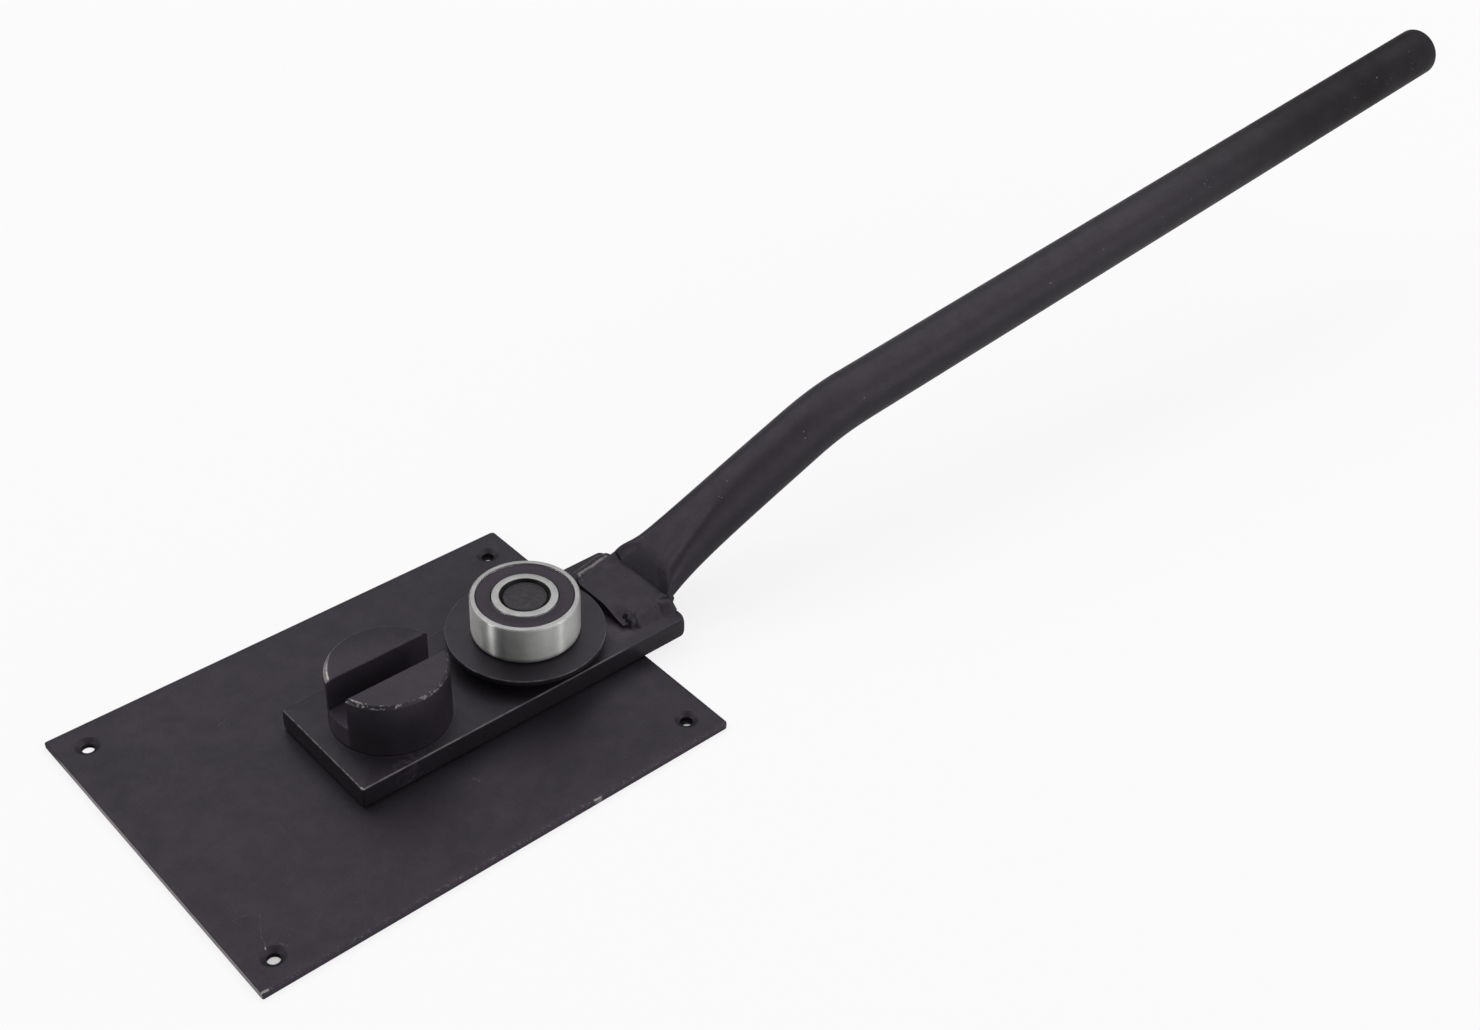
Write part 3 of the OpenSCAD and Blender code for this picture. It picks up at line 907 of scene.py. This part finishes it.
def bead(path, half_across, half_up, seed, lump=0.13, blunt=6):
    """A weld bead along a path, with rounded ends, curved ripples and lumps."""
    ripple, pitch, step, sides = 0.01, 1.9, 0.4, 40
    points = [Vector(p) for p in path]
    lengths = [0]
    for a, b in zip(points, points[1:]):
        lengths.append(lengths[-1] + (b - a).length)
    total = lengths[-1]
    count = max(30, int(total / step))
    rings = []
    for k in range(count + 1):
        s = total * k / count
        j = max(i for i in range(len(points) - 1) if lengths[i] <= s + 1e-9)
        share = (s - lengths[j]) / (lengths[j + 1] - lengths[j])
        centre = points[j].lerp(points[j + 1], min(share, 1))
        way = (points[j + 1] - points[j]).normalized()
        across = way.cross(Vector((0, 0, 1))).normalized()
        up = across.cross(way)
        ends = math.sqrt(max(1 - abs(2 * k / count - 1) ** blunt, 0.0004))
        ring = []
        for dx, dy in around(sides):
            wave = ripple * math.sin((s + 1.3 * dx ** 2) * 2 * math.pi / pitch)
            spot = centre * 0.32 + Vector((dx, dy, seed * 7.3)) * 1.2
            rough = noise.noise(spot) + 0.4 * noise.noise(spot * 2.7)
            size = ends * (1 + wave + lump * rough)
            ring.append(tuple(centre + across * dx * half_across * size + up * dy * half_up * size))
        rings.append(ring)
    return capped(rings)


def corner_height(x, y):
    """How high above the bar the melted corner may stand: it falls towards the tongue's end."""
    return 3.2 + 0.3 * (x - 109) + 0.25 * (y + 18) if x < 118 else 2 * TUBE_WALL + 2


def near_fillet():
    """The near weld: a slope from the tongue's top to its foot on the bar, low and narrow at its start."""
    inner, rows, columns = -14, 90, 26
    first, last = 108.6, BAR_TIP + 0.5
    sunk = BAR_TOP - 0.4
    rings = []
    for k in range(rows + 1):
        x = first + (last - first) * k / rows
        start = smoothstep(first, first + 6, x)
        end = 1 - smoothstep(BAR_TIP - 0.4, last, x) * 0.55
        foot = -18.8 - 5.9 * start - 1.4 * smoothstep(116, 131, x) + 2.9 * smoothstep(131.5, last, x)
        blunt = 1.6 + 2.4 * smoothstep(126, last, x)
        height = 4.9 * (0.12 + 0.88 * start) * end
        ring = []
        for i in range(columns + 1):
            t = i / columns
            y = inner + (foot - inner) * t
            slope = 0.5 + 0.5 * math.cos(math.pi * t ** blunt)
            lumps = 0.35 * noise.noise(Vector((x * 0.3, y * 0.3, 3.1)))
            lumps += 0.1 * noise.noise(Vector((x, y, 8)) * 0.9)
            wave = 0.02 * math.sin((x + 0.05 * (y + 20) ** 2) * 2 * math.pi / 2.2)
            z = min(height * slope + (lumps + wave) * math.sin(math.pi * t), corner_height(x, y))
            ring.append((x, y, BAR_TOP + z - 0.15 * t))
        rings.append(ring + [(x, foot, sunk), (x, inner, sunk)])
    return capped(rings)


def handle_welds():
    top, tip = BAR_TOP, BAR_TIP
    near_path = [(tip - 5, -17.4, top + 0.8), (tip - 1, -17.4, top + 2.4), (tip + 1.8, -17, top + 4.2)]
    far_path = [
        (110.4, 14.6, top), (112.6, 17.6, top), (120, 18.7, top), (127, 19, top + 1),
        (tip - 0.8, 19, top + 2.4),
    ]
    end_path = [(tip - 0.4, -17, top - 2), (tip + 0.2, 0, top - 2.2), (tip - 0.4, 17, top - 2)]
    welds = {
        "weld_near": ("handle_weld_near", [near_fillet(), bead(near_path, 3.1, 2.8, 4, lump=0.03)]),
        "weld_far": ("handle_weld_far", [bead(far_path, 6.2, 5.3, 2, lump=0.07)]),
        "weld_end": ("handle_weld_end", [bead(end_path, 2.9, 3.3, 3, blunt=10)]),
        "weld_crater": ("handle_weld_corner", [crater_bead()]),
    }
    for name, (node, shapes) in welds.items():
        piece(name, joined(shapes), MATERIALS["weld"], "lever", [node], sharp=60)


# Craters of the corner weld: place on the bar, half lengths along X and Y, and depth
CRATERS = [
    ((111.9, -13.8), (0.7, 0.7), 1.3), ((110.9, -16.6), (0.7, 0.8), 1.3), ((110.8, -19.2), (0.6, 0.7), 0.8),
    ((114.1, -18), (0.5, 1.3), 1.3), ((112.2, -21.4), (0.8, 0.5), 1.1),
]


def crater_bead():
    """The lump with burnt-out bubbles at the tongue's near corner."""
    middle = Vector((112.4, -17.2))
    back_reach, front_reach, side_reach, height = 3, 5.5, 4.8, 5.25
    rows, sides = 30, 72
    rings = []
    for k in range(rows + 1):
        u = k / rows
        ring = []
        for dx, dy in around(sides):
            reach = front_reach if dx > 0 else back_reach
            r = u / math.sqrt((dx / reach) ** 2 + (dy / side_reach) ** 2)
            r *= 1 + 0.12 * noise.noise(Vector((dx * 1.3, dy * 1.3, 4.2)))
            x, y = middle.x + r * dx, middle.y + r * dy
            side = 0.5 - 0.3 * dx - 0.4 * dy
            z = height * max(1 - u ** 2, 0) ** (0.4 + 0.7 * side)
            z = min(z, corner_height(x, y)) * (1 + 0.12 * noise.noise(Vector((x, y, 9)) * 0.5))
            for (hole_x, hole_y), (half_x, half_y), depth in CRATERS:
                z -= depth * math.exp(-(((x - hole_x) / half_x) ** 2 + ((y - hole_y) / half_y) ** 2))
            ring.append((x, y, BAR_TOP + max(z, -0.2)))
        rings.append(ring)
    verts, faces = bridge(rings)
    faces.append(tuple(rows * sides + i for i in range(sides)))
    return verts, faces


def weld_coat():
    g = Graph("weld_coat")
    soot = g.noise(2.5, detail=5, roughness=0.65)
    fine = g.noise(0.5, detail=3)
    crest = g.most(
        line_mask(g, (112.8, 18.3), (128.5, 19.4), 1.1), line_mask(g, (110.2, 13.8), (112.8, 18.3), 1),
    )
    high = g.band(g.split()[2], BAR_TOP + 3.6, BAR_TOP + 4.6)
    crest = g.times(crest, high, g.band(soot, 0.3, 0.5, 0.12, 0.4))
    dark = g.mix(g.band(soot, 0.35, 0.65), BLACK * 0.85, BLACK * 1.25)
    return g.set(
        colour=g.mix(crest, dark, (0.4, 0.39, 0.38)), metallic=crest, specular=SHINE, tint=GLOSS_CAST,
        roughness=g.blend(crest, g.band(soot, 0.3, 0.7, 0.5, 0.42), 0.45),
        normal=g.bump(g.plus(g.times(soot, 0.7), g.times(fine, 0.3)), 0.1),
    )


# Roller


def turned(name, profile, material, body, nodes, origin, segments, sharp=32):
    """A piece whose closed profile is turned about the Z axis through origin."""
    shape = lathe(profile, segments, closed=True)
    piece(name, shape, material, body, nodes, origin=origin, sharp=sharp)


def groove_arc(start, end, steps=14):
    """Points of the ball groove between two angles in degrees."""
    points = []
    for i in range(steps + 1):
        a = math.radians(start + (end - start) * i / steps)
        points.append((BALL_PITCH_R + BALL_GROOVE_R * math.cos(a), BALL_GROOVE_R * math.sin(a)))
    return points


def groove_reach(land):
    """The angle in degrees at which the ball groove meets a ring's land."""
    return math.degrees(math.acos((land - BALL_PITCH_R) / BALL_GROOVE_R))


def bearing():
    at = tuple(ROLLER)
    half = RING_HALF
    shelf = half - SEAL_SHELF
    corners = [(SEAL_SEAT_R, -half), (RING_R, -half), (RING_R, half), (SEAL_SEAT_R, half)]
    outside = rounded(corners, [0, 0.75, 0.75, 0], steps=5)
    lip = rounded([(SEAL_SEAT_R, half), (SEAL_SEAT_R, shelf), (OUTER_LAND_R, shelf)], [0, 0.15, 0], steps=2)
    low_lip = [(r, -z) for r, z in reversed(lip)]
    reach = groove_reach(OUTER_LAND_R)
    profile = outside + lip + groove_arc(reach, -reach) + low_lip
    turned(
        "bearing_outer_ring_shell", profile, ring_steel("ring_steel", side=True), "roller",
        ["bearing_outer_ring"], at, 192,
    )

    wide, deep = BORE_CHAMFER
    land, mouth = INNER_LAND_R, BORE_R + wide
    radii = [0, 0.3, 0.15, 0.3, 0]
    below = [(BORE_R, 0), (BORE_R, deep - half), (mouth, -half), (land, -half), (land, -1)]
    over = [(land, 1), (land, half), (mouth, half), (BORE_R, half - deep), (BORE_R, 0.1)]
    reach = groove_reach(land)
    profile = rounded(below, radii)[:-1] + groove_arc(360 - reach, reach) + rounded(over, radii)[1:]
    turned(
        "bearing_inner_ring_shell", profile, ring_steel("inner_ring_steel", side=False), "lever",
        ["bearing_inner_ring"], at, 160,
    )

    low, high, inner = SEAL_LOW, SEAL_HIGH, SEAL_INNER_R
    section = [
        (inner, low), (16.2, low), (16.2, low + 0.4), (20.5, low + 0.4), (20.5, low), (SEAL_R, low),
        (SEAL_R, high - 0.45), (SEAL_R - 0.45, high - 0.45), (SEAL_R - 0.6, high - 0.02),
        (SEAL_R - 1.1, high),
        (inner + 1.3, high), (inner + 1.1, high - 0.14), (inner + 0.8, high - 0.14), (inner + 0.6, high),
        (inner + 0.15, high - 0.1), (inner, high - 0.35),
    ]
    seals = (("seal_upper_shell", "bearing_seal_upper", 1), ("seal_lower_shell", "bearing_seal_lower", -1))
    for name, node, way in seals:
        profile = [(r, z * way) for r, z in section]
        turned(name, profile, MATERIALS["seal"], "roller", [node], at, 160, sharp=40)


def ring_steel(name, side):
    """Ground bearing steel: the lines run round the ring, so highlights spread across them."""
    g = Graph(name)
    z = g.split()[2]
    face = g.band(g.math("ABSOLUTE", z), RING_HALF - 0.5, RING_HALF - 0.15)
    lines = g.noise(0.3, detail=2, stretch=(0.02, 0.02, 1.0) if side else (1, 1, 1))
    patch = g.patches(5, 3, 0.3, 0.7)
    fleck = g.band(g.noise(0.9, detail=3, roughness=0.7), 0.66, 0.74, 0, 0.4)
    tangent = g.add("ShaderNodeTangent", direction_type="RADIAL", axis="Z")
    bright = g.mix(patch, (0.6, 0.6, 0.582), (0.67, 0.67, 0.655))
    flat = g.mix(patch, (0.36, 0.36, 0.355), (0.43, 0.43, 0.43))
    # Painted shade: the ring's side is painted darker towards its foot, just above the dark disc.
    foot = g.band(z, 0.4 - RING_HALF, 2.6 - RING_HALF, 0.75, 0)
    bright = g.mix(foot, bright, (0.12, 0.118, 0.115))
    colour = g.mix(face, bright, g.mix(fleck, flat, (0.2, 0.2, 0.19)))
    rough = g.blend(face, g.band(lines, 0.3, 0.7, 0.4, 0.46), 0.42)
    if not side:
        # Painted shade in the groove round the pin: the bore's chamfer is dark and dull.
        bore = g.band(g.radius(), BORE_R + 1.15, BORE_R + 0.95)
        colour = g.mix(bore, colour, (0.03, 0.029, 0.028))
        rough = g.blend(bore, rough, 0.6)
    return g.set(
        colour=colour, metallic=1.0, anisotropic=g.blend(face, 0.98, 0.3), turn=0.25, roughness=rough,
        tangent=tangent.outputs[0], normal=g.bump(lines, 0.002),
    )


def seal_rubber():
    g = Graph("seal_rubber")
    fine = g.noise(0.4, detail=4)
    cloud = g.noise(4, detail=3)
    return g.set(
        colour=g.mix(cloud, 0.016, 0.026), roughness=g.band(fine, 0.3, 0.7, 0.46, 0.58), specular=0.4,
        tint=GLOSS_CAST, normal=g.bump(fine, 0.015),
    )


def roller_pin():
    """The pin's slightly domed and hammered end stands inside the inner ring."""
    top, base, foot = PIN_TOP, BAR_TOP, BAR_LOW.z + 3
    crown_r = PIN_R - 0.7
    side = [
        (0, foot), (PIN_FOOT_R, foot), (PIN_FOOT_R, base), (PIN_R, base), (PIN_R, top - 2.2),
        (PIN_R - 0.1, top - 1.7), (PIN_R - 0.35, top - 1.15), (crown_r, top - 0.75),
    ]
    rows = 20
    crown = []
    for k in range(rows + 1):
        u = 1 - k / rows
        ring = []
        for dx, dy in around(ROUND):
            x, y = crown_r * u * dx, crown_r * u * dy
            rough = 0.16 * noise.noise(Vector((x, y, 0)) * 0.55) + 0.07 * noise.noise(Vector((x, y, 5)) * 1.7)
            z = top - 0.2 - 0.55 * u ** 5 + rough * (1 - u ** 8)
            ring.append((x, y, min(z, top)))
        crown.append(ring)
    shape = joined([lathe(side, ROUND), bridge(crown)])
    piece(
        "roller_pin_shell", shape, MATERIALS["pin"], "lever", ["roller_pin"],
        origin=(ROLLER.x, 0, 0), sharp=45,
    )


def pin_dark():
    g = Graph("pin_dark")
    pits = g.noise(1.4, detail=5, roughness=0.7)
    fine = g.noise(0.4, detail=2)
    return g.set(
        colour=g.mix(g.band(pits, 0.3, 0.7), 0.011, 0.03), metallic=0.25,
        roughness=g.band(pits, 0.3, 0.7, 0.52, 0.38), normal=g.bump(g.plus(pits, g.times(fine, 0.4)), 0.12),
    )


def washer_profile(inner, outer, low, high, radii, steps):
    corners = [(inner, low), (outer, low), (outer, high), (inner, high)]
    return rounded(corners, radii, steps, closed=True)


def guide_disc():
    at = (ROLLER.x, 0, 0)
    disc = washer_profile(BORE_R, DISC_R, DISC_BASE, DISC_TOP, [0, 0.35, 0.45, 0], 4)
    turned("guide_disc_shell", disc, disc_coat(), "lever", ["guide_disc"], at, 192)
    collar = washer_profile(BORE_R, COLLAR_R, BAR_TOP, DISC_BASE, [0, 0.4, 0.4, 0], 3)
    turned("pin_collar_shell", collar, MATERIALS["collar"], "lever", ["pin_collar"], at, ROUND)


def disc_coat():
    def wear(g):
        top = g.band(g.split()[2], DISC_TOP - 0.55, DISC_TOP - 0.2)
        rim = g.times(g.band(g.radius(), DISC_R - 0.55, DISC_R - 0.25), top)
        return g.times(rim, g.patches(6, 3, 0.35, 0.65, 0.04, 0.22))

    def rings(g):
        """Faint turned rings."""
        wave = g.math("SINE", g.times(g.radius(), 5.5))
        return g.band(g.times(wave, g.noise(5)), 0.1, 0.6, 0, 0.07)

    return coat("disc_coat", BLACK * 0.76, wear, roughness=0.36, marks=[rings])


# CAD nodes that stay as they are, by the material that each gets
KEPT_NODES = {
    "weld": ("post_weld", "pin_weld"),
    "washer": ("thrust_washer", "bearing_shim"),
    "balls": ("bearing_balls",),
    "cage": ("bearing_cage_upper", "bearing_cage_lower"),
    "rivets": ("bearing_cage_rivets",),
    "insert": ("seal_insert_upper", "seal_insert_lower"),
}


def keep_nodes():
    for kind, nodes in KEPT_NODES.items():
        for node in nodes:
            data = frame["nodes"][node].data
            data.materials.clear()
            data.materials.append(MATERIALS[kind])


# Floor, light and camera

# Painted light through each screw hole, on the floor's painted shadow under the plate: how far it lands
# towards the front, and how bright it is
PAINTED_HOLE_LIGHT = {(-1, 1): (0.6, 0.95), (-1, -1): (0.6, 0.5), (1, -1): (2.7, 0.32), (1, 1): (2.9, 0.3)}
FRONT = Vector((-0.5, -0.86, 0))
# The floor to the camera, to other rays and under the plate as painted shadow, and its own glow to the camera
FLOOR_SEEN = (0.86, 0.86, 0.865)
FLOOR_LIT = (0.62, 0.62, 0.62)
FLOOR_PAINTED_SHADOW = (0.01, 0.009, 0.011)
FLOOR_GLOW = (1.02, 1.01, 1.02, 1)
GLOW_SHARE = 0.8
# Distances at which the floor starts to turn, and is, fully white to the camera
HORIZON = (1800, 3200)
# Half the floor's width, and how far it lies under the plate, in metres
FLOOR_HALF = 12
FLOOR_DROP = 0.0002


def floor_material():
    """Pale floor, white to the camera. Under the plate it is painted dark as shadow, but for painted spots of
    light through the holes.
    """
    g = Graph("floor_pale")
    direct = g.add("ShaderNodeLightPath").outputs["Is Camera Ray"]
    left, near, right, far = edge_distance(g, PLATE_LOW, PLATE_HIGH)
    inside = g.fold("MINIMUM", (left, near, right, far))
    # Painted shadow under the plate, with painted spots of light where light through the holes lands on the
    # floor.
    under = g.band(inside, 3, 5)
    hole_light_spots = []
    for (side_x, side_y), (shift, strength) in PAINTED_HOLE_LIGHT.items():
        spot = Vector((side_x * HOLE_X, side_y * HOLE_Y, 0)) + FRONT * shift
        away = g.vector("DISTANCE", g.flat(), tuple(spot))
        hole_light_spots.append(g.band(away, HOLE_R - 0.35, HOLE_R + 0.25, strength, 0))
    white = g.plus(g.math("SUBTRACT", 1, under), g.times(under, g.most(*hole_light_spots)))
    g.set(colour=g.mix(white, FLOOR_PAINTED_SHADOW, g.mix(direct, FLOOR_LIT, FLOOR_SEEN)), roughness=0.9, specular=0.1)
    glow = g.add("ShaderNodeEmission")
    glow.inputs["Color"].default_value = FLOOR_GLOW
    share = g.times(direct, g.band(g.vector("LENGTH", g.place), *HORIZON, GLOW_SHARE, 1), white)
    mixer = g.wired("ShaderNodeMixShader", (share, g.shader.outputs[0], glow.outputs[0]))
    g.put(g.tree.nodes["Material Output"].inputs[0], mixer.outputs[0])
    return g.material


def stage():
    corners = [(x * FLOOR_HALF, y * FLOOR_HALF, -FLOOR_DROP) for x, y in ((-1, -1), (1, -1), (1, 1), (-1, 1))]
    data = bpy.data.meshes.new("floor")
    data.from_pydata(corners, [], [(0, 1, 2, 3)])
    data.materials.append(floor_material())
    floor = placed("floor", data)


WORLD_LIGHT = 0.24
LAMP_TARGET = Vector((0.1, 0, 0.02))
LAMP_DISTANCE = 4
LAMPS = {
    # name: azimuth, elevation, half width and half height in degrees as seen from the part, and radiance
    "top_box": (47, 62, 42, 29, 1.07),
    "back_box": (126, 46, 17, 19, 1.0),
    "front_box": (-52, 53, 26, 15, 0.8),
    "right_box": (-52, 20, 40, 20, 0.6),
    "right_strip": (-58, 16, 2.5, 14, 5),
    "camera_box": (-105, 22, 20, 18, 0.5),
    "left_strip": (166, 16, 2, 12, 15),
}


def world():
    """White to the camera, and a dimmer light on the part."""
    made = bpy.data.worlds.new("studio")
    bpy.context.scene.world = made
    made.use_nodes = True
    tree = made.node_tree
    background = tree.nodes["Background"]
    path = tree.nodes.new("ShaderNodeLightPath")
    strength = tree.nodes.new("ShaderNodeMapRange")
    tree.links.new(path.outputs["Is Camera Ray"], strength.inputs["Value"])
    strength.inputs["To Min"].default_value = WORLD_LIGHT
    strength.inputs["To Max"].default_value = 1
    tree.links.new(strength.outputs[0], background.inputs["Strength"])
    background.inputs["Color"].default_value = (1, 1, 1, 1)


def lamps():
    for name, (azimuth, elevation, half_width, half_height, radiance) in LAMPS.items():
        a, e = math.radians(azimuth), math.radians(elevation)
        way = Vector((math.cos(a) * math.cos(e), math.sin(a) * math.cos(e), math.sin(e)))
        data = bpy.data.lights.new(name, "AREA")
        data.shape = "RECTANGLE"
        data.size = 2 * LAMP_DISTANCE * math.tan(math.radians(half_width))
        data.size_y = 2 * LAMP_DISTANCE * math.tan(math.radians(half_height))
        data.energy = radiance * math.pi * data.size * data.size_y
        lamp = placed(name, data)
        lamp.location = LAMP_TARGET + way * LAMP_DISTANCE
        lamp.rotation_euler = way.to_track_quat("Z", "Y").to_euler()


# The photograph's camera: its place in metres, its azimuth, elevation and roll in degrees, and its focal
# length in pixels
CAMERA_PLACE = (-0.3011711, -0.5143816, 0.5722844)
CAMERA_TURN = (-45.0695, 39.1853, 4.1391)
IMAGE_SIZE = (1480, 1030)
FOCAL_PIXELS = 1937.2568
OPTICAL_CENTRE = (769.0751, 573.7941)
SENSOR_WIDTH = 36


def camera():
    a, e, r = (math.radians(v) for v in CAMERA_TURN)
    forward = Vector((-math.sin(a) * math.cos(e), math.cos(a) * math.cos(e), -math.sin(e)))
    level = forward.cross(Vector((0, 0, 1))).normalized()
    upright = level.cross(forward)
    right = level * math.cos(r) + upright * math.sin(r)
    up = upright * math.cos(r) - level * math.sin(r)
    data = bpy.data.cameras.new("photo_camera")
    data.sensor_width = SENSOR_WIDTH
    data.sensor_fit = "HORIZONTAL"
    data.lens = SENSOR_WIDTH * FOCAL_PIXELS / IMAGE_SIZE[0]
    data.shift_x = (IMAGE_SIZE[0] / 2 - OPTICAL_CENTRE[0]) / IMAGE_SIZE[0]
    data.shift_y = (OPTICAL_CENTRE[1] - IMAGE_SIZE[1] / 2) / IMAGE_SIZE[0]
    data.clip_start, data.clip_end = 0.01, 50
    obj = placed("photo_camera", data)
    turn = Matrix((right, up, -forward)).transposed().to_4x4()
    obj.matrix_world = Matrix.Translation(CAMERA_PLACE) @ turn
    bpy.context.scene.camera = obj


MATERIALS = {
    "weld": weld_coat(),
    "seal": seal_rubber(),
    "pin": pin_dark(),
    "collar": coat("collar_coat", BLACK * 0.8, roughness=0.45),
    "washer": hidden_steel("washer_steel", (0.5, 0.5, 0.49), 0.4),
    "balls": hidden_steel("ball_steel", (0.75, 0.75, 0.76), 0.12),
    "cage": hidden_steel("cage_steel", (0.55, 0.5, 0.4), 0.34),
    "rivets": hidden_steel("rivet_steel", (0.6, 0.6, 0.58), 0.3),
    "insert": hidden_steel("insert_steel", (0.55, 0.56, 0.57), 0.36),
}

base_plate()
pivot_post()
lever_bar()
handle_tube()
handle_welds()
bearing()
roller_pin()
guide_disc()
keep_nodes()
stage()
world()
lamps()
camera()
bpy.context.scene.view_settings.view_transform = "Standard"
